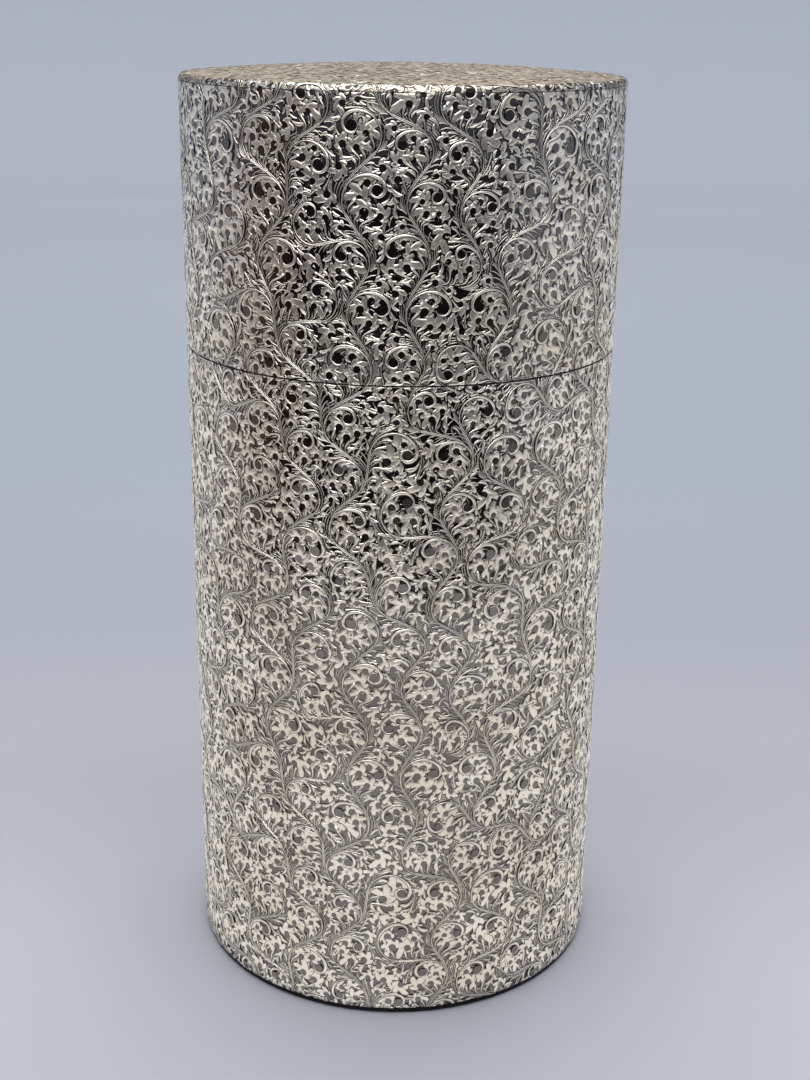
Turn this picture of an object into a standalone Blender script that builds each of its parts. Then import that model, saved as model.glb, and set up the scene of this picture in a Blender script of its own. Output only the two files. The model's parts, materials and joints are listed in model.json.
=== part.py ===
"""Tea canister: a double-walled metal can with a slip-over cap and a lift-out inner lid.

Metres, +Z up. The origin is the centre of the foot, on the surface that the canister stands on.
Every piece is turned about the Z axis from its own section, so the sections below hold the design.
Each piece is modelled from its own lowest point and placed by its location under one of three empties:
the body, the cap and the inner lid. The last two lift straight up along the Z axis that they share.
The front is towards -Y. The vertical joints of the two outer skins are at the back, towards +Y.
"""

import math

import bmesh
import bpy

MM = 0.001
FULL_TURN = 2.0 * math.pi

# Whole can
CAN_DIAMETER = 76.0 * MM
CAN_HEIGHT = 163.0 * MM
CAP_HEIGHT = 46.8 * MM
KNOB_HEAD_ROOM = 5.8 * MM

# Sheet metal
SKIN_SHEET = 0.5 * MM
LINER_SHEET = 0.4 * MM
BASE_SHEET = 0.5 * MM
LID_SHEET = 0.4 * MM
STRAP_SHEET = 0.3 * MM

# Clearances
SEAT_GAP = 0.3 * MM
SLIDE_GAP = 0.2 * MM
STRAP_GAP = 0.25 * MM

# Double wall: the space that the cap's sliding sleeve and the strap behind its joint share
WALL_SPACE = 0.8 * MM

# Skins
SKIN_EDGE_ROUND = 0.15 * MM
JOINT_GAP = 0.25 * MM
STRAP_WIDTH = 5.0 * MM

# Foot ring
FOOT_HEIGHT = 0.8 * MM
FOOT_INSET = 0.35 * MM
FOOT_WIDTH = 2.2 * MM
FOOT_ROUND = 0.25 * MM

# Base plate
BASE_FLANGE_HEIGHT = 6.0 * MM
BASE_BEND = 1.2 * MM
BASE_PANEL_INSET = 4.5 * MM
BASE_PANEL_RAMP = 1.2 * MM
BASE_PANEL_RISE = 0.5 * MM

# Inner can
HEM_WIDTH = 0.9 * MM
HEM_DEPTH = 1.4 * MM
FLOOR_FLANGE_HEIGHT = 5.0 * MM
FLOOR_BEND = 1.0 * MM
COLLAR_DEPTH = 3.0 * MM
COLLAR_SINK = 0.2 * MM
COLLAR_ROUND = 0.25 * MM

# Inner lid
LID_DRUM_DEPTH = 8.0 * MM
LID_DRUM_HEM = 0.3 * MM
LID_BEAD_ROUND = 0.45 * MM
LID_BEAD_INSET = 0.1 * MM
LID_PANEL_SINK = 0.9 * MM
LID_PANEL_RAMP = 0.9 * MM
LID_CROWN = 0.8 * MM
LID_BOSS_RADIUS = 7.0 * MM
LID_BOSS_RAMP = 1.0 * MM
LID_BOSS_RISE = 0.4 * MM

# Knob
KNOB_HEIGHT = 7.0 * MM
KNOB_RADIUS = 5.5 * MM
KNOB_CAP_DEPTH = 3.4 * MM
KNOB_WAIST_RADIUS = 2.4 * MM
KNOB_FOOT_RADIUS = 4.2 * MM
KNOB_FOOT_DEPTH = 0.9 * MM
KNOB_FOOT_ROUND = 0.3 * MM
KNOB_DOME_END = 75
SHANK_RADIUS = 1.5 * MM
RIVET_HEAD_RADIUS = 2.4 * MM
RIVET_HEAD_DEPTH = 0.8 * MM
RIVET_HEAD_TAPER = 0.7 * MM
WASHER_RADIUS = 4.0 * MM
WASHER_SHEET = 0.6 * MM

# Cap
TOP_SHOULDER_ROUND = 1.8 * MM
TOP_RIM_BAND = 0.4 * MM
TOP_CROWN = 0.6 * MM
TOP_FLANGE_DEPTH = 4.0 * MM
SLEEVE_RISE = 0.4 * MM
SLEEVE_FLARE = 0.5 * MM
SLEEVE_FLARE_HEIGHT = 1.5 * MM
CEILING_BEND = 0.9 * MM
CEILING_FLANGE_HEIGHT = 2.2 * MM
CEILING_DROP = 1.1 * MM
CEILING_BEAD_INSET = 7.0 * MM
CEILING_BEAD_WIDTH = 2.4 * MM
CEILING_BEAD_RISE = 0.6 * MM

# Roundness: how many steps a full turn and an arc of a section are made of
CAN_STEPS = 64
KNOB_STEPS = 32
STRAP_STEPS = 4
BEND_STEPS = 2
ROLL_STEPS = 4
SHOULDER_STEPS = 4
CROWN_STEPS = 3
DOME_STEPS = 8
SHARP_EDGE = math.radians(35)
WELD = 0.001 * MM

# Radii that follow from the sizes above, from the outside in
CAN_RADIUS = CAN_DIAMETER / 2
SKIN_INSIDE = CAN_RADIUS - SKIN_SHEET
SLEEVE_OUTSIDE = SKIN_INSIDE - WALL_SPACE
SLEEVE_INSIDE = SLEEVE_OUTSIDE - LINER_SHEET
LINER_OUTSIDE = SLEEVE_INSIDE - SLIDE_GAP
LINER_INSIDE = LINER_OUTSIDE - LINER_SHEET
HEM_INSIDE = LINER_OUTSIDE - HEM_WIDTH
LID_DRUM_RADIUS = HEM_INSIDE - SLIDE_GAP
SHANK_HOLE_RADIUS = SHANK_RADIUS + SEAT_GAP

# Heights that follow, from the foot up
SKIN_BOTTOM = FOOT_HEIGHT + SEAT_GAP
BASE_BOTTOM = FOOT_HEIGHT + SEAT_GAP
BASE_FLANGE_TOP = BASE_BOTTOM + BASE_FLANGE_HEIGHT
LINER_BOTTOM = BASE_BOTTOM + BASE_SHEET + SEAT_GAP
FLOOR_TOP = LINER_BOTTOM + FLOOR_FLANGE_HEIGHT
CAP_BOTTOM = CAN_HEIGHT - CAP_HEIGHT
BODY_SKIN_TOP = CAP_BOTTOM - SEAT_GAP
COLLAR_TOP = BODY_SKIN_TOP - COLLAR_SINK
COLLAR_BOTTOM = COLLAR_TOP - COLLAR_DEPTH
TOP_RIM_BOTTOM = CAN_HEIGHT - TOP_CROWN - TOP_SHOULDER_ROUND - TOP_RIM_BAND
CAP_SKIN_TOP = TOP_RIM_BOTTOM - SEAT_GAP
TOP_FLANGE_BOTTOM = TOP_RIM_BOTTOM - TOP_FLANGE_DEPTH
SLEEVE_BOTTOM = CAP_BOTTOM + SLEEVE_RISE
SLEEVE_FLARE_TOP = SLEEVE_BOTTOM + SLEEVE_FLARE_HEIGHT
SLEEVE_TOP = TOP_FLANGE_BOTTOM - SEAT_GAP
CEILING_BOTTOM = SLEEVE_TOP - CEILING_DROP

# Heights of the inner lid and of the neck that it rests on, from the cap's ceiling down
KNOB_TOP = CEILING_BOTTOM - KNOB_HEAD_ROOM
KNOB_BOTTOM = KNOB_TOP - KNOB_HEIGHT
LID_BOSS_TOP = KNOB_BOTTOM - SEAT_GAP
LID_PANEL_TOP = LID_BOSS_TOP - LID_BOSS_RISE - LID_CROWN
LID_SEAT = LID_PANEL_TOP + LID_PANEL_SINK - 2 * LID_BEAD_ROUND
NECK_TOP = LID_SEAT - SEAT_GAP
WASHER_TOP = LID_BOSS_TOP - LID_SHEET - SEAT_GAP
WASHER_BOTTOM = WASHER_TOP - WASHER_SHEET


def arc(centre_r, centre_z, radius, start_deg, end_deg, steps=BEND_STEPS):
    """Points of a section's arc, both ends included, from one angle to the other."""
    points = []
    for step in range(steps + 1):
        angle = math.radians(start_deg + (end_deg - start_deg) * step / steps)
        points.append((centre_r + radius * math.cos(angle), centre_z + radius * math.sin(angle)))
    return points


def material(name, colour, roughness, metallic):
    """A plain metal: a Principled BSDF with its colour, roughness and metallic value."""
    made = bpy.data.materials.new(name)
    made.use_nodes = True
    shader = made.node_tree.nodes["Principled BSDF"]
    shader.inputs["Base Color"].default_value = (*colour, 1.0)
    shader.inputs["Roughness"].default_value = roughness
    shader.inputs["Metallic"].default_value = metallic
    return made


def group(name, height):
    """An empty on the canister's axis, which carries the pieces that move together."""
    carrier = bpy.data.objects.new(name, None)
    carrier.location.z = height
    carrier.empty_display_size = CAN_RADIUS
    bpy.context.scene.collection.objects.link(carrier)
    return carrier


def turned(carrier, name, section, finish, steps=CAN_STEPS, start=0.0, sweep=FULL_TURN):
    """A solid made by spinning a section, a list of (radius, height), about the Z axis.

    A section that begins on the axis also ends there, and its two ends become the poles.
    A sweep of less than a full turn gets a flat face at each end.
    """
    base = min(height for radius, height in section)
    across, along = math.cos(start), math.sin(start)
    mesh = bmesh.new()
    corners = [mesh.verts.new((r * across, r * along, height - base)) for r, height in section]
    edges = [mesh.edges.new(ends) for ends in zip(corners, corners[1:])]
    if section[0][0] > 0:
        edges.append(mesh.edges.new((corners[-1], corners[0])))
    bmesh.ops.spin(mesh, geom=corners + edges, axis=(0, 0, 1), cent=(0, 0, 0), angle=sweep, steps=steps)
    bmesh.ops.remove_doubles(mesh, verts=mesh.verts, dist=WELD)
    if sweep < FULL_TURN:
        bmesh.ops.holes_fill(mesh, edges=[edge for edge in mesh.edges if edge.is_boundary])
    bmesh.ops.recalc_face_normals(mesh, faces=mesh.faces)
    data = bpy.data.meshes.new(name)
    mesh.to_mesh(data)
    mesh.free()
    data.shade_smooth()
    data.set_sharp_from_angle(angle=SHARP_EDGE)
    data.materials.append(finish)
    piece = bpy.data.objects.new(name, data)
    bpy.context.scene.collection.objects.link(piece)
    piece.parent = carrier
    piece.location.z = base - carrier.location.z
    return piece


def ring_section(inside, outside, low, high, corner, steps=BEND_STEPS):
    """A rectangle with its four corners rounded."""
    return [
        *arc(outside - corner, low + corner, corner, -90, 0, steps),
        *arc(outside - corner, high - corner, corner, 0, 90, steps),
        *arc(inside + corner, high - corner, corner, 90, 180, steps),
        *arc(inside + corner, low + corner, corner, 180, 270, steps),
    ]


def skin_section(low, high):
    """A tube's wall, with both of its outer edges burnished round."""
    edge = SKIN_EDGE_ROUND
    return [
        (SKIN_INSIDE, low),
        *arc(CAN_RADIUS - edge, low + edge, edge, -90, 0),
        *arc(CAN_RADIUS - edge, high - edge, edge, 0, 90),
        (SKIN_INSIDE, high),
    ]


def skin(carrier, name, low, high, finish):
    """Rolled from flat sheet: the two ends butt at the back, with a hairline gap between them."""
    gap = JOINT_GAP / CAN_RADIUS
    start, sweep = FULL_TURN / 4 + gap / 2, FULL_TURN - gap
    return turned(carrier, name, skin_section(low, high), finish, start=start, sweep=sweep)


def strap(carrier, name, low, high, finish):
    """The strip that is soldered inside a skin, across its joint."""
    outside = SKIN_INSIDE - STRAP_GAP
    inside = outside - STRAP_SHEET
    section = [(inside, low), (outside, low), (outside, high), (inside, high)]
    sweep = STRAP_WIDTH / outside
    return turned(carrier, name, section, finish, STRAP_STEPS, FULL_TURN / 4 - sweep / 2, sweep)


def foot_ring(carrier, finish):
    """The ring that the can stands on, set in a little from the skin, so that it lies in shadow."""
    outside = CAN_RADIUS - FOOT_INSET
    section = ring_section(outside - FOOT_WIDTH, outside, 0.0, FOOT_HEIGHT, FOOT_ROUND)
    return turned(carrier, "foot_ring", section, finish)


def base_plate(carrier, finish):
    """A pressed tray, flange up, with a panel that rises towards its middle."""
    outside = SKIN_INSIDE - SEAT_GAP
    inside = outside - BASE_SHEET
    bend_r, bend_z = outside - BASE_BEND, BASE_BOTTOM + BASE_BEND
    ramp_out = outside - BASE_PANEL_INSET
    ramp_in = ramp_out - BASE_PANEL_RAMP
    panel = BASE_BOTTOM + BASE_PANEL_RISE
    section = [
        (0.0, panel),
        (ramp_in, panel),
        (ramp_out, BASE_BOTTOM),
        *arc(bend_r, bend_z, BASE_BEND, -90, 0),
        (outside, BASE_FLANGE_TOP),
        (inside, BASE_FLANGE_TOP),
        *arc(bend_r, bend_z, BASE_BEND - BASE_SHEET, 0, -90),
        (ramp_out, BASE_BOTTOM + BASE_SHEET),
        (ramp_in, panel + BASE_SHEET),
        (0.0, panel + BASE_SHEET),
    ]
    return turned(carrier, "base_plate", section, finish)


def liner_wall(carrier, finish):
    """The inner can's wall. It stands above the body as the neck, and its mouth is hemmed inwards."""
    hem = HEM_WIDTH / 2
    hem_r, hem_z = LINER_OUTSIDE - hem, NECK_TOP - hem
    section = [
        (LINER_INSIDE, LINER_BOTTOM),
        (LINER_OUTSIDE, LINER_BOTTOM),
        *arc(hem_r, hem_z, hem, 0, 180, ROLL_STEPS),
        (HEM_INSIDE, NECK_TOP - HEM_DEPTH),
        (LINER_INSIDE, NECK_TOP - HEM_DEPTH),
    ]
    return turned(carrier, "liner_wall", section, finish)


def liner_floor(carrier, finish):
    """The inner can's bottom: a pressed pan, set upside down with its flange inside the wall."""
    outside = LINER_INSIDE - SEAT_GAP
    inside = outside - LINER_SHEET
    bend_r, bend_z = outside - FLOOR_BEND, FLOOR_TOP - FLOOR_BEND
    section = [
        (0.0, FLOOR_TOP),
        *arc(bend_r, bend_z, FLOOR_BEND, 90, 0),
        (outside, LINER_BOTTOM),
        (inside, LINER_BOTTOM),
        *arc(bend_r, bend_z, FLOOR_BEND - LINER_SHEET, 0, 90),
        (0.0, FLOOR_TOP - LINER_SHEET),
    ]
    return turned(carrier, "liner_floor", section, finish)


def body_collar(carrier, finish):
    """Closes the space between the skin and the inner can, where the neck begins."""
    inside, outside = LINER_OUTSIDE + SEAT_GAP, SKIN_INSIDE - SEAT_GAP
    section = ring_section(inside, outside, COLLAR_BOTTOM, COLLAR_TOP, COLLAR_ROUND)
    return turned(carrier, "body_collar", section, finish)


def inner_lid_plate(carrier, finish):
    """A pressed drum: a bead that rests on the neck's mouth, a sunk panel with a crown, and a boss."""
    drum, drum_inside = LID_DRUM_RADIUS, LID_DRUM_RADIUS - LID_SHEET
    drum_bottom = LID_SEAT - LID_DRUM_DEPTH
    bead = LID_BEAD_ROUND
    bead_r = LINER_OUTSIDE - LID_BEAD_INSET - bead
    bead_z = LID_SEAT + bead
    ramp_out = bead_r - 2 * bead
    panel_edge = ramp_out - LID_PANEL_RAMP
    boss_edge = LID_BOSS_RADIUS + LID_BOSS_RAMP
    crown = LID_PANEL_TOP + LID_CROWN
    boss = LID_BOSS_TOP
    section = [
        (drum, drum_bottom),
        (drum, LID_SEAT),
        *arc(bead_r, bead_z, bead, -90, 90, ROLL_STEPS),
        (ramp_out, bead_z + bead),
        (panel_edge, LID_PANEL_TOP),
        (boss_edge, crown),
        (LID_BOSS_RADIUS, boss),
        (SHANK_HOLE_RADIUS, boss),
        (SHANK_HOLE_RADIUS, boss - LID_SHEET),
        (LID_BOSS_RADIUS, boss - LID_SHEET),
        (boss_edge, crown - LID_SHEET),
        (panel_edge, LID_PANEL_TOP - LID_SHEET),
        (drum_inside, LID_PANEL_TOP - LID_SHEET),
        (drum_inside, drum_bottom + LID_DRUM_HEM),
        (drum_inside - LID_DRUM_HEM, drum_bottom + LID_DRUM_HEM),
        (drum_inside - LID_DRUM_HEM, drum_bottom),
    ]
    return turned(carrier, "inner_lid_plate", section, finish)


def inner_lid_knob(carrier, finish):
    """Turned from bar: a mushroom head on a waist and a foot, with a shank peened over under the lid."""
    foot_top = KNOB_BOTTOM + KNOB_FOOT_DEPTH
    head_top = WASHER_BOTTOM - SEAT_GAP
    head_bottom = head_top - RIVET_HEAD_DEPTH
    mushroom = arc(0.0, 0.0, 1.0, KNOB_DOME_END, -KNOB_DOME_END, DOME_STEPS)
    half_depth = KNOB_CAP_DEPTH / 2
    section = [
        (0.0, KNOB_TOP),
        *[(KNOB_RADIUS * out, KNOB_TOP - half_depth + half_depth * up) for out, up in mushroom],
        (KNOB_WAIST_RADIUS, KNOB_TOP - KNOB_CAP_DEPTH),
        (KNOB_WAIST_RADIUS, foot_top),
        *arc(KNOB_FOOT_RADIUS - KNOB_FOOT_ROUND, foot_top - KNOB_FOOT_ROUND, KNOB_FOOT_ROUND, 90, 0),
        (KNOB_FOOT_RADIUS, KNOB_BOTTOM),
        (SHANK_RADIUS, KNOB_BOTTOM),
        (SHANK_RADIUS, head_top),
        (RIVET_HEAD_RADIUS, head_top),
        (RIVET_HEAD_RADIUS - RIVET_HEAD_TAPER, head_bottom),
        (0.0, head_bottom),
    ]
    return turned(carrier, "inner_lid_knob", section, finish, KNOB_STEPS)


def knob_washer(carrier, finish):
    """Spreads the peened end's grip under the thin lid."""
    section = [
        (SHANK_HOLE_RADIUS, WASHER_BOTTOM),
        (WASHER_RADIUS, WASHER_BOTTOM),
        (WASHER_RADIUS, WASHER_TOP),
        (SHANK_HOLE_RADIUS, WASHER_TOP),
    ]
    return turned(carrier, "knob_washer", section, finish, KNOB_STEPS)


def crown(radius, base):
    """A low dome's points, from the axis out to just short of the radius: its height falls as the square."""
    shares = [step / CROWN_STEPS for step in range(CROWN_STEPS)]
    return [(radius * share, base + TOP_CROWN * (1 - share**2)) for share in shares]


def cap_top(carrier, finish):
    """The cap's pressed top: a crown, a round shoulder, a rim on the skin's edge and a flange inside it."""
    shoulder = TOP_SHOULDER_ROUND
    shoulder_r, shoulder_z = CAN_RADIUS - shoulder, TOP_RIM_BOTTOM + TOP_RIM_BAND
    flange = SKIN_INSIDE - SEAT_GAP
    flange_inside = flange - SKIN_SHEET
    crown_base = shoulder_z + shoulder
    under_r, under_z = flange_inside - SKIN_SHEET, crown_base - SKIN_SHEET
    section = [
        *crown(shoulder_r, crown_base),
        *arc(shoulder_r, shoulder_z, shoulder, 90, 0, SHOULDER_STEPS),
        (CAN_RADIUS, TOP_RIM_BOTTOM),
        (flange, TOP_RIM_BOTTOM),
        (flange, TOP_FLANGE_BOTTOM),
        (flange_inside, TOP_FLANGE_BOTTOM),
        (flange_inside, shoulder_z),
        (under_r, under_z),
        *reversed(crown(under_r, under_z)),
    ]
    return turned(carrier, "cap_top", section, finish)


def cap_sleeve(carrier, finish):
    """The cap's inner tube, which slides on the neck. Its mouth is flared so that it finds the neck."""
    section = [
        (SLEEVE_INSIDE + SLEEVE_FLARE, SLEEVE_BOTTOM),
        (SLEEVE_OUTSIDE + SLEEVE_FLARE, SLEEVE_BOTTOM),
        (SLEEVE_OUTSIDE, SLEEVE_FLARE_TOP),
        (SLEEVE_OUTSIDE, SLEEVE_TOP),
        (SLEEVE_INSIDE, SLEEVE_TOP),
        (SLEEVE_INSIDE, SLEEVE_FLARE_TOP),
    ]
    return turned(carrier, "cap_sleeve", section, finish)


def cap_ceiling(carrier, finish):
    """The lining under the cap's top: a pan, flange up inside the sleeve, stiffened by a ring bead."""
    outside = SLEEVE_INSIDE - SEAT_GAP
    inside = outside - LINER_SHEET
    low = CEILING_BOTTOM
    high = low + CEILING_FLANGE_HEIGHT
    bend_r, bend_z = outside - CEILING_BEND, low + CEILING_BEND
    bead_out = outside - CEILING_BEAD_INSET
    bead_in = bead_out - CEILING_BEAD_WIDTH
    bead_mid = (bead_out + bead_in) / 2
    bead_top = low + CEILING_BEAD_RISE
    section = [
        (0.0, low),
        (bead_in, low),
        (bead_mid, bead_top),
        (bead_out, low),
        *arc(bend_r, bend_z, CEILING_BEND, -90, 0),
        (outside, high),
        (inside, high),
        *arc(bend_r, bend_z, CEILING_BEND - LINER_SHEET, 0, -90),
        (bead_out, low + LINER_SHEET),
        (bead_mid, bead_top + LINER_SHEET),
        (bead_in, low + LINER_SHEET),
        (0.0, low + LINER_SHEET),
    ]
    return turned(carrier, "cap_ceiling", section, finish)


def build():
    engraved = material("engraved_silver", (0.62, 0.60, 0.54), 0.34, 1.0)
    tinned = material("tinned_steel", (0.78, 0.78, 0.76), 0.28, 1.0)
    dark = material("blackened_steel", (0.06, 0.06, 0.065), 0.45, 0.8)
    polished = material("polished_knob", (0.80, 0.78, 0.72), 0.18, 1.0)
    solder = material("solder_grey", (0.45, 0.45, 0.44), 0.5, 1.0)

    body = group("body", 0.0)
    foot_ring(body, dark)
    base_plate(body, dark)
    skin(body, "body_skin", SKIN_BOTTOM, BODY_SKIN_TOP, engraved)
    strap(body, "body_seam_strap", BASE_FLANGE_TOP + SEAT_GAP, COLLAR_BOTTOM - SEAT_GAP, solder)
    liner_wall(body, tinned)
    liner_floor(body, tinned)
    body_collar(body, tinned)

    inner_lid = group("inner_lid", LID_SEAT)
    inner_lid_plate(inner_lid, tinned)
    inner_lid_knob(inner_lid, polished)
    knob_washer(inner_lid, tinned)

    cap = group("cap", CAP_BOTTOM)
    skin(cap, "cap_skin", CAP_BOTTOM, CAP_SKIN_TOP, engraved)
    strap(cap, "cap_seam_strap", SLEEVE_FLARE_TOP + SEAT_GAP, TOP_FLANGE_BOTTOM - SEAT_GAP, solder)
    cap_top(cap, engraved)
    cap_sleeve(cap, tinned)
    cap_ceiling(cap, tinned)


for leftover in list(bpy.data.objects):
    bpy.data.objects.remove(leftover)
build()
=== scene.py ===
"""Looks of a tea canister whose silver skins are engraved all over with leaf scrolls.

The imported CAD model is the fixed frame. Lengths are in millimetres until add_piece writes metres; the
studio and the camera are in metres. The engraving is worked out once on a flat tile, in (across, up,
out) coordinates. Copies of the tile are wrapped round the skins, rolled over the cap's shoulder and
laid on its crown.
"""

import json
import math
from collections import namedtuple

import bpy
import numpy as np
from mathutils import Matrix, Vector

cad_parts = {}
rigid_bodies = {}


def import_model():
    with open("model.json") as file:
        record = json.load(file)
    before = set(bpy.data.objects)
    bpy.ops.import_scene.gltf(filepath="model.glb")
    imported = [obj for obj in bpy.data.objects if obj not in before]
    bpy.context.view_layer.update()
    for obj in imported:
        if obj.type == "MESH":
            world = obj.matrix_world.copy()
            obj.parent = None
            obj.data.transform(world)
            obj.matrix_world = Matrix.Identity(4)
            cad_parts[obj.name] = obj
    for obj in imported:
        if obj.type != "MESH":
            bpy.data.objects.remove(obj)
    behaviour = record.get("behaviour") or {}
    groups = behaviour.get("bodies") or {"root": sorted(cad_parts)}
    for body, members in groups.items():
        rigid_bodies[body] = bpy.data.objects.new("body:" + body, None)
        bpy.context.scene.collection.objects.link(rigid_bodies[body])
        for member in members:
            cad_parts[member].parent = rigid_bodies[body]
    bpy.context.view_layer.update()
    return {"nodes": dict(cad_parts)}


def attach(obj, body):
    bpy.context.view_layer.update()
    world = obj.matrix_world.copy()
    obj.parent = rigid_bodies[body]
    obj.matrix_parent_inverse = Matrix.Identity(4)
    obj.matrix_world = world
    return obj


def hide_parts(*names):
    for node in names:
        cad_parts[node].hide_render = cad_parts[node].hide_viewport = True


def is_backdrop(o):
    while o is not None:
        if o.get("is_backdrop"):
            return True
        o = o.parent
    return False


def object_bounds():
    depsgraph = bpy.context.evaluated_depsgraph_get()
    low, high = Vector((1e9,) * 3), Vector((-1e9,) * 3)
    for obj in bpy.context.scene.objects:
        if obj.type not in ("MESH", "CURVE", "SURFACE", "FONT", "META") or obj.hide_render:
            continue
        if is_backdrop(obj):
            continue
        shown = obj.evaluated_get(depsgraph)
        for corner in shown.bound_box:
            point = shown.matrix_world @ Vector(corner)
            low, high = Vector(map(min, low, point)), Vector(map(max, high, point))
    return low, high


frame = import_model()
nodes = frame["nodes"]
scene = bpy.context.scene

MM = 0.001
FULL = 2 * math.pi

# Sizes of the canister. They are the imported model's, but for the cap's top: its shoulder is tighter
# here, its crown higher and the skin below it longer, as in the photograph
CAN_RADIUS, SKIN_INSIDE = 38.0, 37.5
BODY_LOW, BODY_MIDDLE, BODY_HIGH = 1.1, 58.0, 115.95
CAP_LOW, CAP_HIGH = 116.15, 160.36
TOP_LOW, SHOULDER_BASE, SHOULDER = 160.42, 160.45, 1.1
CROWN_RADIUS, CROWN_BASE, CROWN_RISE = 36.9, 161.55, 1.65
EDGE_ROUND = 0.08

# The cap's pressed top: its flange, the thickness of its sheet, and how much lower its underside lies
FLANGE_RADIUS, FLANGE_LOW, TOP_SHEET, UNDER_DROP = 37.2, 156.2, 0.5, 0.02

# The gap of the butt joint at the back of each skin
JOINT_GAP = 0.25

# The engraving's ground is sunk by RELIEF below the skin's surface. A stroke on layer n stands
# FIRST_HEIGHT + n LAYER above the ground, and a fine line only LINE_RISE of that
RELIEF = 0.22
GROUND = CAN_RADIUS - RELIEF
FIRST_HEIGHT, LAYER, LINE_RISE = 0.025, 0.011, 0.7

# How far a flank starts and ends below the top of its stroke, the width below which a stroke has no
# flanks, and how far a dot stands above its leaf
FLANK_TOP, FLANK_FOOT, NARROW, DOT_RISE = 0.001, 0.012, 0.03, 0.002

# The engraving stops TRIM short of the skins' edges and TOP_TRIM short of the shoulder's. On the crown
# it reaches CROWN_OVER past the crown's radius, and it is only CROWN_DEPTH as deep
TRIM, TOP_TRIM, CROWN_OVER, CROWN_DEPTH = 0.04, 0.01, 0.05, 0.7

# The tile of the engraving is a quarter of the can's turn wide. What covers it is kept in small cells
QUARTERS = 4
TILE = np.array([FULL * CAN_RADIUS / QUARTERS, 80.0])
CELL = 0.1
CELLS = np.ceil(TILE / CELL).astype(int)

# The pattern's random draws, which come in a fixed order
RNG = np.random.default_rng(11)


# Meshes

def add_piece(name, points, faces, finish, body, uv=None, sharp=None, side=None):
    """A mesh object at the origin from points in millimetres and arrays of faces, one per corner count.

    The side attribute, where given, runs from 0 to 1 across each stroke.
    """
    mesh = bpy.data.meshes.new(name)
    mesh.vertices.add(len(points))
    mesh.vertices.foreach_set("co", (points * MM).astype(np.float32).ravel())
    loops = np.concatenate([f.ravel() for f in faces])
    counts = np.concatenate([np.full(len(f), f.shape[1]) for f in faces])
    mesh.loops.add(len(loops))
    mesh.loops.foreach_set("vertex_index", loops.astype(np.int32))
    mesh.polygons.add(len(counts))
    starts = np.concatenate([[0], np.cumsum(counts)[:-1]])
    mesh.polygons.foreach_set("loop_start", starts.astype(np.int32))
    mesh.polygons.foreach_set("loop_total", counts.astype(np.int32))
    mesh.update(calc_edges=True)
    mesh.validate()
    mesh.shade_smooth()
    if sharp:
        mesh.set_sharp_from_angle(angle=math.radians(sharp))
    if uv is not None:
        layer = mesh.uv_layers.new(name="OFBake")
        index = np.zeros(len(mesh.loops), np.int32)
        mesh.loops.foreach_get("vertex_index", index)
        layer.data.foreach_set("uv", uv[index].astype(np.float32).ravel())
    if side is not None:
        across = mesh.attributes.new("side", "FLOAT", "POINT")
        across.data.foreach_set("value", side.astype(np.float32))
    mesh.materials.append(finish)
    piece = bpy.data.objects.new(name, mesh)
    scene.collection.objects.link(piece)
    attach(piece, body)
    return piece


def arc(radius_at, height_at, radius, first, last, steps):
    """Points (r, z) of a section's arc, both ends included, angles in degrees."""
    angle = np.radians(np.linspace(first, last, steps + 1))
    return np.stack([radius_at + radius * np.cos(angle), height_at + radius * np.sin(angle)], -1).tolist()


def turned(section, steps, gap):
    """A closed section (r, z) carried round the Z axis: the point at angle a is (-r sin a, r cos a, z).

    A section with both ends on the axis gets a pole at each. With a gap, in millimetres of arc, the turn
    starts and ends on either side of the back, and both ends are closed by a flat face.
    """
    ring = np.array(section, float)
    after = np.roll(ring, -1, 0)
    if (ring[:, 0] * after[:, 1] - after[:, 0] * ring[:, 1]).sum() < 0:
        ring = ring[::-1]
    poles = ring[0, 0] == 0
    body = ring[1:-1] if poles else ring
    half = gap / 2 / CAN_RADIUS
    count = steps + 1 if gap else steps
    angle = np.linspace(half, FULL - half, count, endpoint=bool(gap))
    points = np.stack([
        -body[None, :, 0] * np.sin(angle)[:, None],
        body[None, :, 0] * np.cos(angle)[:, None],
        np.broadcast_to(body[None, :, 1], (count, len(body))),
    ], -1)
    index = np.arange(count * len(body)).reshape(count, len(body))
    if not gap:
        index = np.concatenate([index, index[:1]])
    if not poles:
        index = closed(index)
    faces = [quads_of(index).reshape(-1, 4)]
    points = points.reshape(-1, 3)
    if poles:
        first, last = len(points), len(points) + 1
        points = np.concatenate([points, [[0, 0, ring[0, 1]], [0, 0, ring[-1, 1]]]])
        first_fan = np.stack([index[:-1, 0], np.full(count, first), index[1:, 0]], -1)
        last_fan = np.stack([index[:-1, -1], index[1:, -1], np.full(count, last)], -1)
        faces.append(np.concatenate([first_fan, last_fan]))
    elif gap:
        faces.append(np.stack([index[0, :-1], index[-1, :-1][::-1]]))
    return points, faces


def closed(index):
    """A grid of point numbers whose first column comes again at the end."""
    return np.concatenate([index, index[:, :1]], 1)


def quads_of(index):
    """The four corners of each quad of a grid of point numbers, in the last two axes of the numbers."""
    return np.stack([index[..., :-1, :-1], index[..., 1:, :-1], index[..., 1:, 1:], index[..., :-1, 1:]], -1)


def spun(name, section, finish, body, node, gap=0.0, steps=384, sharp=30):
    """A turned piece that stands for one CAD node."""
    points, faces = turned(section, steps, gap)
    piece = add_piece(name, points, faces, finish, body, sharp=sharp)
    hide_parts(node)


# Lines of the engraving, on the flat tile

def unit(angle):
    """The unit vector at an angle."""
    return np.stack([np.cos(angle), np.sin(angle)], -1)


def shortest(step):
    """A step on the tile, taken the short way round."""
    return step - TILE * np.round(step / TILE)


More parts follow.
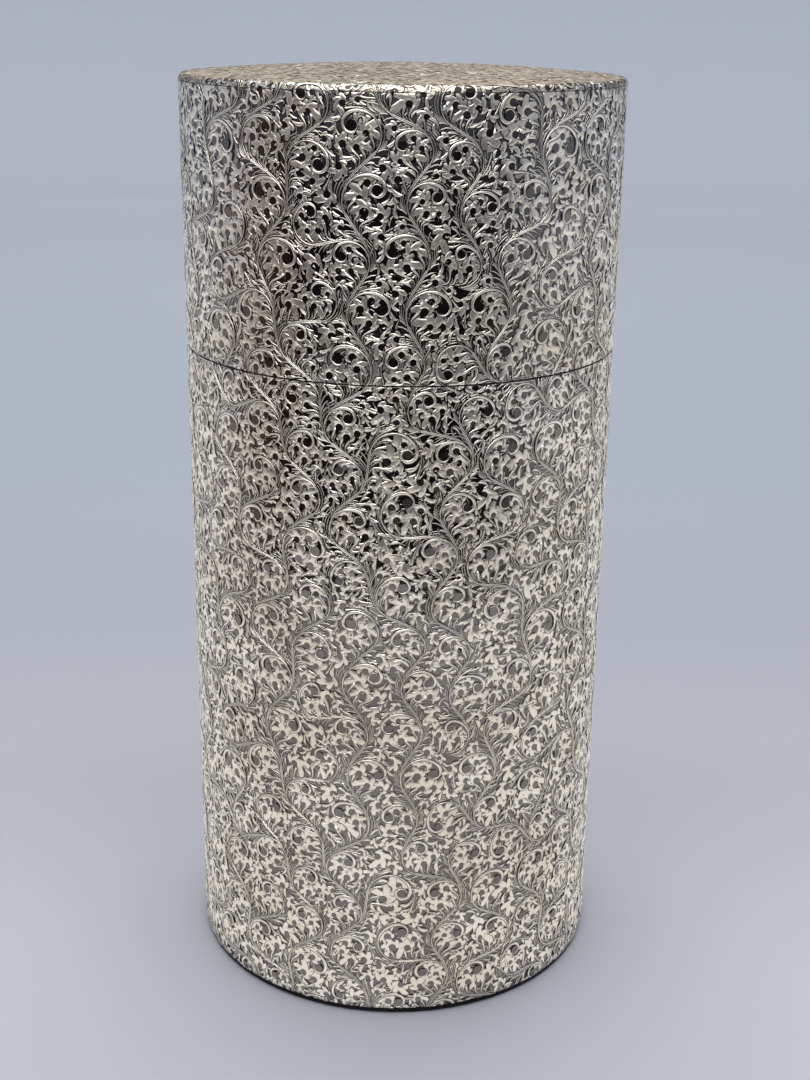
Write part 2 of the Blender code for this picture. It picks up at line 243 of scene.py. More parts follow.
def cells_at(points):
    """The small cell of the tile that each point lies in, as two arrays of numbers: across and up."""
    cell = np.floor(points % TILE / CELL).astype(int) % CELLS
    return cell[..., 0], cell[..., 1]


def eased(x):
    """0 below 0, 1 above 1, and a smooth S between: 3x^2 - 2x^3."""
    x = np.clip(x, 0, 1)
    return x * x * (3 - 2 * x)


def angle_of(step):
    """The angle that a step points at."""
    return np.arctan2(step[..., 1], step[..., 0])


def headings(path):
    """The direction of travel at each point of each path."""
    return angle_of(np.gradient(path, axis=1))


def beside_path(path, offset, lean=0.0, stiff=0.12):
    """Points at offsets to the left of a path.

    They are moved on along it as well, by lean times what the offset has over stiff.
    """
    way = headings(path)
    onwards = lean * np.clip(np.abs(offset) - stiff, 0, None)
    return path + unit(way + np.pi / 2) * offset[..., None] + unit(way) * onwards[..., None]


def between(points, along, across):
    """Points inside each quad of the strips, at these shares along the stroke and across it."""
    first, second = points[:, :-1, :, None], points[:, 1:, :, None]
    lines = first + (second - first) * along[:, None]
    first, second = lines[:, :, :-1, :, None], lines[:, :, 1:, :, None]
    return first + (second - first) * across[:, None]


def bezier(start, first, second, end, steps):
    """Cubic curves from start to end, drawn towards first and second."""
    t = np.linspace(0, 1, steps)[None, :, None]
    points = [p[:, None] for p in (start, first, second, end)]
    weights = [(1 - t) ** 3, 3 * (1 - t) ** 2 * t, 3 * (1 - t) * t ** 2, t ** 3]
    return sum(w * p for w, p in zip(weights, points))


def bending(start, heading, length, first, last, steps):
    """Paths whose bend grows evenly from first to last, in radians per millimetre."""
    x = (np.arange(steps - 1) + 0.5) / (steps - 1)
    turn = length[:, None] * (first[:, None] * x + (last - first)[:, None] * x ** 2 / 2)
    step = unit(heading[:, None] + turn) * (length / (steps - 1))[:, None, None]
    return walked(start, step)


def walked(start, step):
    """The paths that begin at start and take these steps."""
    return np.concatenate([start[:, None], start[:, None] + np.cumsum(step, 1)], 1)


def swell(steps, first, last, power):
    """A width that grows from nothing and dies away: the sine from first to last, to a power."""
    return np.sin(np.pi * np.linspace(first, last, steps)) ** power


def sided(hand, inner, outer):
    """Widths on the inside and outside of a bend as widths to the left and right of travel."""
    turns_left = hand[:, None] > 0
    return np.where(turns_left, inner, outer), np.where(turns_left, outer, inner)


# Paths of one kind, with their widths to the left and right, their heights, the width of their dark
# flanks, whether they are fine lines without flanks, which points show, and how far their edges lean on
Stroke = namedtuple("Stroke", "path left right level skirt line shown lean")


class Engraving:
    """The strokes and the dots of one tile."""

    def __init__(self):
        self.strokes = []
        self.dots = []

    def add(self, layer, path, left, right, skirt=0.13, line=False, shown=None,
            rise=0.0, mixed=0.9, lean=0.0):
        """Adds strokes, one for each path, on a layer. Gives the heights at their ends.

        Each stands up to mixed layers higher, by chance, and rises by rise layers on its way.
        """
        count, steps = path.shape[:2]
        height = FIRST_HEIGHT + LAYER * (layer + RNG.uniform(0, mixed, count))
        level = height[:, None] + LAYER * rise * np.linspace(0, 1, steps)
        left = np.broadcast_to(left, (count, steps))
        right = np.broadcast_to(right, (count, steps))
        shown = np.ones((count, steps), bool) if shown is None else shown
        self.strokes.append(Stroke(path, left, right, level, skirt, line, shown, lean))
        return level[:, -1]

    def add_dots(self, height, centres, radii, sides=12):
        """Round sunk dots, which show dark, just above a height."""
        self.dots.append((centres, radii, height + DOT_RISE, sides))


# Scrolls: where they lie and what each grows from

# The longest gap that a stem may cross, and travels along a parent's rim in radians: the best one to
# leave at, the last good one, and how far apart two stems should leave
LONGEST_GAP, BEST_TRAVEL, LAST_TRAVEL, CLEAR_TRAVEL = 2.6, 1.0, 3.9, 0.6


def spread_scrolls(count, low, high, spread, rounds=500):
    """Circles at random places, pushed apart until their centres are spread times both radii apart."""
    radii = RNG.uniform(low, high, count)
    centres = RNG.random((count, 2)) * TILE
    not_itself = np.eye(count) * 1e3
    for _ in range(rounds):
        apart = shortest(centres[:, None] - centres[None])
        distance = np.linalg.norm(apart, axis=-1) + not_itself
        push = np.clip((radii[:, None] + radii[None]) * spread - distance, 0, None)
        centres = (centres + 0.25 * (apart / distance[..., None] * push[..., None]).sum(1)) % TILE
    return centres, radii


def branch(centres, radii):
    """Each scroll grows from a neighbour that curls the other way, along their inner tangent.

    Gives, for each scroll, its parent, its hand (1 curls left, -1 right) and its root, the angle on its
    own circle where its stem arrives. A cheap link is short, leaves early on the parent, clear of its
    other links, and runs upwards.
    """
    count = len(centres)
    step = shortest(centres[None] - centres[:, None])
    distance = np.linalg.norm(step, axis=-1)
    gap = distance - (radii[:, None] + radii[None])
    parent, hand, root = np.full(count, -1), np.zeros(count), np.zeros(count)
    hand[0], root[0] = 1, -math.pi / 2
    grown, left = [0], list(range(1, count))
    leaves = {i: [] for i in range(count)}
    while left:
        best = None
        for p in grown:
            for c in left:
                touch = (radii[p] + radii[c]) / distance[p, c]
                if gap[p, c] > LONGEST_GAP or touch > 1:
                    continue
                bearing = math.atan2(step[p, c][1], step[p, c][0])
                leave = bearing - hand[p] * math.acos(touch)
                travel = (hand[p] * (leave - root[p])) % FULL
                crowding = sum(2 * max(0, CLEAR_TRAVEL - abs(t - travel)) for t in leaves[p])
                cost = gap[p, c] * 0.6 + abs(travel - BEST_TRAVEL) * 0.8 - 0.7 * math.sin(bearing)
                cost += RNG.random() * 0.5 + crowding
                cost += 3 * (travel > LAST_TRAVEL)
                if best is None or cost < best[0]:
                    best = (cost, p, c, leave, travel)
        if best is None:
            c = left.pop(0)
            hand[c], root[c] = RNG.choice([-1, 1]), RNG.uniform(0, FULL)
            grown.append(c)
            continue
        cost, p, c, leave, travel = best
        parent[c], hand[c], root[c] = p, -hand[p], leave + math.pi
        leaves[p].append(travel)
        grown.append(c)
        left.remove(c)
    return parent, hand, root


class Scrolls:
    """The tile's scrolls. In a scroll's own frame its radius is 1, and its stem comes up to (1, 0)."""

    def __init__(self, count, low, high, spread):
        self.count = count
        self.centres, self.radii = spread_scrolls(count, low, high, spread)
        self.parent, self.hand, self.root = branch(self.centres, self.radii)

    def placed(self, x, y):
        """One point on the tile for each scroll, from x and y in the scroll's own frame."""
        sideways = np.asarray(y) * self.hand
        turned_x = x * np.cos(self.root) - sideways * np.sin(self.root)
        turned_y = x * np.sin(self.root) + sideways * np.cos(self.root)
        return np.stack([turned_x, turned_y], -1) * self.radii[:, None] + self.centres

    def on_stem(self, travel, inset):
        """A start on the rim, or on the stem where travel is below 0, and the heading there."""
        if travel < 0:
            return self.placed(1 - inset, travel), self.root + self.hand * np.pi / 2
        place = self.placed(math.cos(travel) * (1 - inset), math.sin(travel) * (1 - inset))
        return place, self.root + self.hand * (np.pi / 2 + travel)


# Room that is left on the tile

def beside_cells(cells, axis):
    """The cells next to marked ones, on both sides along an axis."""
    return np.roll(cells, 1, axis) | np.roll(cells, -1, axis)


def bare_room(work, reach=1.2):
    """How far each small cell of the tile is from the nearest raised blade, up to a reach.

    The blades' cells grow by one cell at each step, and on every other step by one more to the sides.
    """
    near = np.zeros(CELLS, bool)
    for stroke in work.strokes:
        if not stroke.line:
            right_edge = beside_path(stroke.path, -stroke.right, stroke.lean)
            left_edge = beside_path(stroke.path, stroke.left, stroke.lean)
            edges = np.stack([right_edge, left_edge], 2)
            near[cells_at(between(edges, np.linspace(0, 1, 5), np.linspace(0, 1, 12)))] = True
    room = np.where(near, 0.0, reach)
    for step in range(1, int(reach / CELL)):
        grown = near | beside_cells(near, 0) | beside_cells(near, 1)
        if step % 2:
            grown |= beside_cells(grown, 0)
        room[grown & ~near] = step * CELL
        near = grown
    return room


def fill_between(centres, radii, least, most, tries=30000, bare=None):
    """Circles in the room between others, the largest first, each as big as the room or as most."""
    points = RNG.random((tries, 2)) * TILE
    room = np.full(tries, np.inf) if bare is None else bare[cells_at(points)]
    for centre, radius in zip(centres, radii):
        room = np.minimum(room, np.linalg.norm(shortest(points - centre), axis=1) - radius)
    found, sizes = [], []
    while True:
        best = int(np.argmax(room))
        radius = min(room[best], most)
        if radius < least:
            return np.array(found), np.array(sizes)
        found.append(points[best])
        sizes.append(radius)
        room = np.minimum(room, np.linalg.norm(shortest(points - points[best]), axis=1) - radius)


# Leaves

# Half the width of a fine line beside a leaf's tail, and of the tail where it starts
LINE, TAIL_START = 0.062, 0.05

# The radius of a leaf's hook, as a share of the dot that it hooks round
HOOK = 1.25

# Fine lines on the inside of the tail: how far off each lies, and what part of the tail it follows
TAIL_LINES = ((0.28, 0.95), (0.52, 0.8), (0.76, 0.65))

# A leaf's head has four lobes: where the points of each lobe lie along it, their widths, how strong
# each lobe is, and how far the tips lean back. HEAD_SHARE is each point's place on the whole hook
LOBES = 4
LOBE_PLACE = np.array([0.0, 0.18, 0.46, 0.74, 0.92])
LOBE_WIDTH = np.array([0.40, 0.88, 1.0, 0.78, 0.46])
LOBE_STRENGTH = (1.2, 1.15, 0.95, 0.7)
LOBE_LEAN = -1.25
HEAD_SHARE = np.append(((np.arange(LOBES)[:, None] + LOBE_PLACE) / LOBES).ravel(), 1.05)
TAIL_STEPS = 8


def leaf_path(start, heading, centre, dot, hand, sweep):
    """A tail that leaves start along heading, meets the circle just outside a dot and hooks round it."""
    away = start - centre
    distance = np.linalg.norm(away, axis=1)
    ring = dot * HOOK
    meet = angle_of(away) + hand * np.arccos(np.clip(ring / distance, -1, 1)) * 0.9
    arrive = centre + ring[:, None] * unit(meet)
    along = unit(meet + hand * np.pi / 2)
    reach = np.linalg.norm(arrive - start, axis=1)[:, None]
    first, second = start + unit(heading) * reach * 0.5, arrive - along * reach * 0.4
    tail = bezier(start, first, second, arrive, TAIL_STEPS)
    angle = meet[:, None] + hand[:, None] * sweep * HEAD_SHARE[None]
    hook = centre[:, None] + ring[:, None, None] * unit(angle)
    return np.concatenate([tail, hook], 1)


def add_leaves(work, layer, start, heading, centre, size, hand, dot, sweep=4.1, blade=0.11):
    """Leaves: a thin tail with fine lines beside it, and a lobed head that hooks round a dark dot."""
    count = len(size)
    path = leaf_path(start, heading, centre, dot, hand, sweep)
    share = np.linspace(0, 1, TAIL_STEPS)
    tail = TAIL_START + (blade - TAIL_START) * share
    strength = RNG.uniform(0.75, 1.15, (count, LOBES)) * LOBE_STRENGTH
    lobe = np.append((strength[:, :, None] * LOBE_WIDTH).reshape(count, -1), np.full((count, 1), 0.02), 1)
    reach = np.clip(size - dot * HOOK, 0.05, None)[:, None]
    flare = reach * 0.15 * np.clip(share * 2 - 1, 0, 1) ** 2
    outer = np.concatenate([tail + flare, reach * lobe * 1.15], 1)
    fading = 1 - eased((HEAD_SHARE - 0.85) / 0.15)
    inner = np.concatenate([tail * np.ones((count, 1)), dot[:, None] * 0.22 * fading], 1)
    left, right = sided(hand, inner, outer)
    height = work.add(layer, path, left, right, skirt=0.17, rise=1.0, mixed=2.5, lean=LOBE_LEAN)
    work.add_dots(height, centre, dot)
    inwards = unit(headings(path) + np.pi / 2 * hand[:, None])
    for offset, part in TAIL_LINES:
        steps = int(TAIL_STEPS * part)
        shift = offset * eased(np.arange(steps) / (TAIL_STEPS - 1) / 0.7)
        line = path[:, :steps] + inwards[:, :steps] * shift[None, :, None]
        width = LINE * swell(steps, 0.06, 1, 0.5)
        work.add(layer - 0.5, line, width, width, line=True)


def add_blades(work, layer, start, heading, size, hand, steps=9):
    """Pointed blades without a dot, widest towards their tips, for the room that is left."""
    share = np.linspace(0, 1, steps)
    path = bending(start, heading, 1.7 + 2.2 * size, hand * 0.25, hand * 0.75, steps)
    shape = eased(share / 0.75) ** 1.5 * np.sqrt(np.clip((1 - share) / 0.3, 0, 1))
    width = 0.03 + (size * 0.62)[:, None] * shape
    width[:, -1] = 0.01
    work.add(layer, path, *sided(hand, width * 0.55, width), rise=1.0, mixed=2.0)


# The parts of the pattern, each for all scrolls at once

def add_rims(work, scrolls, length=4.85, steps=48):
    """Rims: round the scroll, then closer and closer round its eye, with a small lobed head behind it.

    Travel is measured in radii. Gives the eyes' places.
    """
    count, radii, hand = scrolls.count, scrolls.radii, scrolls.hand
    tighter, tightest = RNG.uniform(2.2, 2.7, (count, 1)), RNG.uniform(3.8, 4.3, (count, 1))
    last = RNG.uniform(3.7, 4.3, (count, 1))
    stop = RNG.uniform(4.05, length, (count, 1))

    def turn(s):
        """How far the rim has turned after a travel of s radii: its bend grows from 1 to last."""
        extra, over = np.clip(s - tighter, 0, tightest - tighter), np.clip(s - tightest, 0, None)
        return s + (last - 1) / (tightest - tighter) * extra ** 2 / 2 + (last - 1) * over

    travel = np.linspace(0, length, steps)[None]
    begin = scrolls.root[:, None] + hand[:, None] * np.pi / 2
    heading = begin + hand[:, None] * turn((travel[:, 1:] + travel[:, :-1]) / 2)
    start = scrolls.centres + radii[:, None] * unit(scrolls.root)
    rim = walked(start, unit(heading) * (radii * length / (steps - 1))[:, None, None])
    head = np.clip((travel - 3.6) / (length - 3.6), 0, 1)
    tips = (head * 2.7) % 1.0
    tips = np.minimum(tips / 0.75, (1 - tips) / 0.25)
    inner = 0.024 + 0.055 * eased((travel - 1.4) / 1.2) * (1 - 0.8 * eased(travel - 3.2))
    outer = 0.024 + 0.025 * eased((travel - 1.6) / 1.6) + (0.10 * tips - 0.015) * eased(head / 0.25)
    end = np.clip((stop - travel) / 1.2, 0, 1) ** 0.8
    inner, outer = inner * end * radii[:, None], outer * end * radii[:, None]
    height = work.add(9.0, rim, *sided(hand, inner, outer), skirt=0.11)
    inwards = (begin + hand[:, None] * (turn(np.full((1, 1), length)) + np.pi / 2))[:, 0]
    eyes = rim[:, -1] + unit(inwards) * (radii / last[:, 0])[:, None]
    work.add_dots(height, eyes, radii * RNG.uniform(0.190, 0.225, count), sides=16)
    return eyes


def stem_paths(scrolls, steps=12):
    """Curves from each parent's rim to the scroll's own, along the rim at both ends."""
    kids = np.where(scrolls.parent >= 0)[0]
    host = scrolls.parent[kids]
    centre, radius = scrolls.centres[kids], scrolls.radii[kids]
    root, hand, host_hand = scrolls.root[kids], scrolls.hand[kids], scrolls.hand[host]
    middle = centre + shortest(scrolls.centres[host] - centre)
    arrive = centre + radius[:, None] * unit(root)
    back = root - np.pi - host_hand * 0.5
    leave = middle + scrolls.radii[host][:, None] * unit(back)
    reach = np.linalg.norm(arrive - leave, axis=1)[:, None]
    first = leave + unit(back + host_hand * np.pi / 2) * reach * 0.4
    second = arrive - unit(root + hand * np.pi / 2) * reach * 0.35
    return bezier(leave, first, second, arrive, steps)


def add_stems(work, stem):
    """Each stem as two lines side by side, a little wider where it arrives."""
    count, steps = stem.shape[:2]
    for side in (-1.0, 1.0):
        half, apart = np.linspace(0.062, 0.085, steps), np.full((count, steps), side * 0.115)
        work.add(8.0, beside_path(stem, apart), half, half, skirt=0.08)


def add_barbs(work, stem, steps=8):
    """Fine barbs that peel off both sides of each stem like those of a feather."""
    count, places = stem.shape[:2]
    way = headings(stem)
    width = 0.085 * swell(steps, 0.12, 1.0, 0.6)
    for side in (-1.0, 1.0):
        first, last = np.full(count, side * 0.06), np.full(count, side * 0.62)
        for place in range(0, places - 1, 2):
            length = RNG.uniform(2.6, 3.9, count)
            line = bending(stem[:, place], way[:, place] + side * 0.08, length, first, last, steps)
            work.add(0.8, line, width, width, skirt=0.06)


def add_outer_lines(work, scrolls, steps=24):
    """Fine lines from the stem, spread round the outside of each scroll as far as it is the nearest."""
    centres, radii, each = scrolls.centres, scrolls.radii, np.arange(scrolls.count)
    for k in range(1, 6):
        travel = np.linspace(-0.15, 3.9 - 0.30 * k, steps)
        out = 1.0 + (0.02 + 0.12 * k) * eased((travel + 0.15) / (0.9 + 0.10 * k)) ** 0.8
        angle = scrolls.root[:, None] + scrolls.hand[:, None] * travel[None]
        path = centres[:, None] + (radii[:, None] * out[None])[..., None] * unit(angle)
        to_each = np.linalg.norm(shortest(path[:, :, None] - centres[None, None]), axis=-1) - radii
        own = to_each[each, :, each] <= to_each.min(-1) + 0.35
        width = 0.075 * swell(steps, 0.03, 1, 0.4)[None] * own
        work.add(0, path, width, width, line=True, shown=own)


def add_inner_lines(work, scrolls, steps=13):
    """Lines inside, from the stem round the eye, the outermost ones bolder."""
    radii, hand = scrolls.radii, scrolls.hand
    for k in range(6):
        start, heading = scrolls.on_stem(0.35 - 0.26 * k, 0.10)
        length = (2.9 - 0.2 * k) * radii * RNG.uniform(0.9, 1.05, scrolls.count)
        first, last = (0.77 + 0.07 * k) / radii, (1.5 + 0.28 * k) / radii
        path = bending(start, heading, length, first * hand, last * hand, steps)
        width = (0.095 - 0.006 * k) * swell(steps, 0.05, 1, 0.6)
        work.add(0.5, path, width, width, skirt=0.06)


# Leaves inside each scroll: travel and inset where they start, x and y of the dot, size and dot
INSIDE_LEAVES = (
    (0.40, 0.13, -0.30, 0.56, 0.40, 0.145),
    (-0.05, 0.13, 0.24, 0.32, 0.46, 0.155),
    (-0.55, 0.13, 0.26, -0.30, 0.49, 0.160),
    (-0.90, 0.16, -0.24, -0.66, 0.47, 0.150),
)


def add_inside_leaves(work, scrolls):
    """The leaves inside each scroll. Gives the places of their dots, one array for each leaf."""
    radii, count = scrolls.radii, scrolls.count
    heads = []
    for travel, inset, x, y, size, dot in INSIDE_LEAVES:
        start, heading = scrolls.on_stem(travel, inset)
        centre = scrolls.placed(x, y) + RNG.normal(0, 0.05, (count, 2)) * radii[:, None]
        sizes = size * radii * RNG.uniform(0.88, 1.12, count)
        dots = dot * radii * RNG.uniform(0.85, 1.15, count)
        add_leaves(work, 3.0, start, heading, centre, sizes, scrolls.hand, dots, blade=0.20)
        heads.append(centre)
    return heads


def stem_room(scrolls, stem):
    """Circles that keep the stems, and the lines beside them, clear of leaves."""
    places = [stem[:, i] for i in (1, 4, 7, 10)]
    places += [scrolls.placed(1.12 * math.cos(a), 1.12 * math.sin(a)) for a in (0.0, 0.4, 0.8, 1.2)]
    wide = (1.0, 0.95, 0.8, 0.6, 0.6, 0.6, 0.55, 0.45)
    return np.concatenate(places), np.concatenate([np.full(len(p), size) for p, size in zip(places, wide)])


# Where the mouth of a scroll starts, in radians of travel round it
MOUTH_START = 4.6


def add_leaves_between(work, scrolls, heads, clear, clear_size):
    """Leaves between the scrolls: each grows backwards off the rim that is nearest to it.

    Those in the mouth of a scroll, below where its stem arrives, grow off the stem instead.
    """
    centres, radii = scrolls.centres, scrolls.radii
    around = np.concatenate([centres, *heads[2:], clear]) % TILE
    around_size = np.concatenate([radii * 1.02, radii * 0.40, radii * 0.40, clear_size])
    centre, size = fill_between(around, around_size, least=0.86, most=1.7)
    step = shortest(centre[:, None] - centres[None])
    gap = np.linalg.norm(step, axis=-1) - radii[None]
    each, host = np.arange(len(centre)), gap.argmin(1)
    own, side, root = step[each, host], scrolls.hand[host], scrolls.root[host]
    bearing, middle = angle_of(own), centre - own
    mouth = (side * (bearing - root)) % FULL > MOUTH_START
    back = bearing - side * (0.6 + 0.65 * np.clip(gap[each, host] / 2, 0, 1))
    start = middle + (radii[host] * 1.06)[:, None] * unit(back)
    heading = back + side * np.pi / 2
    arrive = middle + radii[host][:, None] * unit(root)
    along = unit(root + side * np.pi / 2)
    below = arrive + along * (((centre - arrive) * along).sum(1) - 1.8)[:, None] - unit(root) * 0.1
    start = np.where(mouth[:, None], below, start)
    heading = np.where(mouth, root + side * np.pi / 2, heading)
    bend = np.where(mouth, side, -side)
    dot = np.clip(0.42 * size, 0.30, 0.58)
    add_leaves(work, 2.0, start, heading, centre, size * 1.13, bend, dot, sweep=4.0)


def add_filling(work, scrolls, eyes, clear, clear_size):
    """Small blades in the room that is left, which flow round the eye or round the outside of the rim."""
    around = np.concatenate([eyes, clear]) % TILE
    around_size = np.concatenate([scrolls.radii * 0.3, clear_size])
    centre, size = fill_between(around, around_size, least=0.27, most=0.7, bare=bare_room(work))
    step = shortest(centre[:, None] - scrolls.centres[None])
    ratio = np.linalg.norm(step, axis=-1) / scrolls.radii[None]
    each, host = np.arange(len(centre)), ratio.argmin(1)
    own, side, inside = step[each, host], scrolls.hand[host], ratio[each, host] < 1
    about_eye = angle_of(shortest(centre - eyes[host])) + side * (np.pi / 2 - 0.3)
    about_rim = angle_of(own) + side * (np.pi / 2 - 0.25)
    flow = np.where(inside, about_eye, about_rim)
    bend = np.where(inside, side, -side)
    start = centre - unit(flow) * (1.3 + size)[:, None]
    add_blades(work, 1.6, start, flow - bend * 0.5, size, bend)


def engrave_tile():
    """All strokes of one tile. What lies over what is set by the layers, not by this order."""
    work = Engraving()
    scrolls = Scrolls(count=63, low=3.1, high=4.0, spread=1.28)
    eyes = add_rims(work, scrolls)
    stem = stem_paths(scrolls)
    add_stems(work, stem)
    add_barbs(work, stem)
    add_outer_lines(work, scrolls)
    add_inner_lines(work, scrolls)
    heads = add_inside_leaves(work, scrolls)
    clear, clear_size = stem_room(scrolls, stem)
    add_leaves_between(work, scrolls, heads, clear, clear_size)
    add_filling(work, scrolls, eyes, clear, clear_size)
    return work


# From the flat tile to meshes

# The swell of the hammered sheet: its height, and plane waves with whole numbers of turns on the tile
SWELL, WAVE_COUNT = 0.09, 18
WAVE_ANGLES = np.random.default_rng(3).uniform(0, math.pi, WAVE_COUNT)
WAVE_LENGTHS = np.geomspace(1.2, 2.6, WAVE_COUNT)
WAVES = np.round(TILE * unit(WAVE_ANGLES) / WAVE_LENGTHS[:, None])
WAVE_PHASES = WAVE_ANGLES * 40


def hammered(points):
    """The swell of the sheet, from 0 to SWELL: a sum of plane waves that fit the tile, at random angles.

    Each wave is cos(k . p + phase), and its crests lie about 1.2 to 2.6 mm apart.
    """
    total = np.zeros(points.shape[:-1])
    for turns, phase in zip(WAVES, WAVE_PHASES):
        total += np.cos(points @ (FULL * turns / TILE) + phase)
    return SWELL * (0.5 + 0.5 * np.clip(total / math.sqrt(2 * len(WAVES)), -1, 1))


def strips_of(work):
    """Each stroke's section as strips (kind, points, shown): the top, and a dark flank along each side.

    A fine line has no flanks. All of it rides on the soft swell of the hammered sheet. A point is
    (across, up, out, side), where side is 0 or 1 for the strip's two edges.
    """
    strips = []

    def put(kind, stroke, across, out):
        """One strip: its columns lie at these offsets to the left of the path, at these heights."""
        flat = np.stack([beside_path(stroke.path, offset, stroke.lean) for offset in across], 2)
        out = np.stack(out, -1) + hammered(flat)
        side = np.broadcast_to([0.0, 1.0], out.shape)
        points = np.concatenate([flat, out[..., None], side[..., None]], -1)
        strips.append((kind, points, stroke.shown))

    for stroke in work.strokes:
        left, right, level = stroke.left, stroke.right, stroke.level
        if stroke.line:
            put("raised", stroke, (-right, left), (level * LINE_RISE, level * LINE_RISE))
            continue
        room = stroke.skirt * (left + right > NARROW)
        put("raised", stroke, (-right, left), (level, level))
        put("sunk", stroke, (-right - room, -right), (level - FLANK_FOOT, level - FLANK_TOP))
        put("sunk", stroke, (left, left + room), (level - FLANK_TOP, level - FLANK_FOOT))
    return strips


def cover_map(strips, dots):
    """The height of the highest stroke in each small cell of the tile, then the lowest of 3 by 3 cells."""
    top = np.full(CELLS, -1.0)
    for kind, points, shown in strips:
        wide = 14 if kind == "raised" else 4
        inside = between(points, np.linspace(0, 1, 5), np.linspace(0, 1, wide))[shown[:, :-1] & shown[:, 1:]]
        np.maximum.at(top, cells_at(inside[..., :2]), inside[..., 2])
    for centres, radii, height, _ in dots:
        ring = unit(np.arange(16) * FULL / 16)[:, None] * np.linspace(0, 1, 8)[None, :, None]
        inside = centres[:, None] + radii[:, None, None] * ring.reshape(1, -1, 2)
        np.maximum.at(top, cells_at(inside), height[:, None] + hammered(inside))
    for axis in (0, 1):
        top = np.minimum(top, np.minimum(np.roll(top, 1, axis), np.roll(top, -1, axis)))
    return top


def seen_faces(points, shown, cover, slack=0.008):
    """Quads between neighbouring steps and columns, without those that lie wholly under higher strokes."""
    quads = quads_of(np.arange(points[..., 0].size).reshape(points.shape[:3]))
    shares = np.array([0.1, 0.5, 0.9])
    inside = between(points[..., :3], shares, shares)
    bare = (inside[..., 2] > cover[cells_at(inside[..., :2])] - slack).any((-1, -2))
    return quads[bare & (shown[:, :-1] & shown[:, 1:])[..., None]]


def raised_and_sunk(work):
    """The tile's two meshes: what stands proud, and the dark flanks and dots."""
    strips = strips_of(work)
    cover = cover_map(strips, work.dots)
    made = {}
    for wanted in ("raised", "sunk"):
        parts, faces, base = [], [], 0
        for kind, points, shown in strips:
            if kind == wanted:
                faces.append(seen_faces(points, shown, cover) + base)
                parts.append(points.reshape(-1, 4))
                base += len(parts[-1])
        made[wanted] = [parts, [np.concatenate(faces)]]
    parts, faces = made["sunk"]
    base = sum(len(p) for p in parts)
    for centres, radii, height, sides in work.dots:
        flat = centres[:, None] + radii[:, None, None] * unit(np.arange(sides) * FULL / sides)[None]
        out = (height[:, None] + hammered(flat))[..., None]
        parts.append(np.concatenate([flat, out, out * 0], -1).reshape(-1, 4))
        faces.append(np.arange(len(centres) * sides).reshape(-1, sides) + base)
        base += len(parts[-1])
    return {kind: (np.concatenate(parts), faces) for kind, (parts, faces) in made.items()}


def kept(points, faces, inside):
    """Only the faces with a corner inside: gives which points they use, and the faces with new numbers."""
    faces = [f[inside[f].any(1)] for f in faces]
    used = np.zeros(len(points), bool)
    for f in faces:
        used[f.ravel()] = True
    number = np.cumsum(used) - 1
    return used, [number[f] for f in faces if len(f)]


def copies(mesh, low, high, columns, rows):
    """Tile copies, trimmed to heights from low to high: corners beyond are drawn back to the line."""
    points, faces = mesh
    made, made_faces, base = [], [], 0
    for row in rows:
        for column in columns:
            moved = points + (column * TILE[0], row * TILE[1], 0, 0)
            inside = (moved[:, 1] > low) & (moved[:, 1] < high)
            used, trimmed = kept(moved, faces, inside)
            moved = moved[used]
            moved[:, 1] = np.clip(moved[:, 1], low, high)
            made.append(moved)
            made_faces += [f + base for f in trimmed]
            base += len(moved)
    return np.concatenate(made), by_size(made_faces)


def by_size(faces):
    """Arrays of faces joined, one for each number of corners."""
    sizes = sorted({f.shape[1] for f in faces})
    return [np.concatenate([f for f in faces if f.shape[1] == s]) for s in sizes]


def round_axis(across, radius, height):
    """Points round the Z axis: the angle is across / R, and the front is at -Y."""
    angle = across / CAN_RADIUS
    return np.stack([radius * np.sin(angle), -radius * np.cos(angle), height], -1)


def onto_wall(points):
    """(across, up, out) round the wall: out is added to the radius of its ground."""
    return round_axis(points[:, 0], GROUND + points[:, 2], points[:, 1])


def onto_shoulder(points):
    """As onto_wall up to the shoulder's base, then the way up is measured along the shoulder's arc."""
    over = np.clip(points[:, 1] - SHOULDER_BASE, 0, None)
    turn = np.clip(over / SHOULDER, 0, np.pi / 2)
    bend = SHOULDER - RELIEF + points[:, 2]
    radius = CROWN_RADIUS + bend * np.cos(turn)
    height = np.minimum(points[:, 1], SHOULDER_BASE) + bend * np.sin(turn)
    return round_axis(points[:, 0], radius, height)


def onto_crown(points):
    """(across, up, out) laid on the crown, less deep: the crown falls from the middle as the square."""
    square = (points[:, :2] ** 2).sum(1) / CROWN_RADIUS ** 2
    height = CROWN_BASE - RELIEF + CROWN_RISE * (1 - square) + CROWN_DEPTH * points[:, 2]
    return np.stack([points[:, 0], points[:, 1], height], -1)


def off_joint(points, faces, near_joint=4.0):
    """Leaves out the faces that cross the joint at the back."""
    turn = points[:, 0] / CAN_RADIUS - np.pi
    beyond = np.round(turn / FULL)
    offset = (turn - beyond * FULL) * CAN_RADIUS
    good = []
    for f in faces:
        near = np.abs(offset[f]) < near_joint
        crossing = (offset[f].min(1) < JOINT_GAP) & (offset[f].max(1) > -JOINT_GAP) & near.all(1)
        good.append(f[~crossing])
    return good


def add_relief(name, mesh, finish, body, low, high, columns, rows, wrap):
    """A piece of the engraving between two heights."""
    flat, faces = copies(mesh, low, high, columns, rows)
    corner = flat[:, :2].min(0)
    uv = (flat[:, :2] - corner) / (flat[:, :2].max(0) - corner).max()
    add_piece(name, wrap(flat), off_joint(flat, faces), finish, body, uv=uv, side=flat[:, 3])


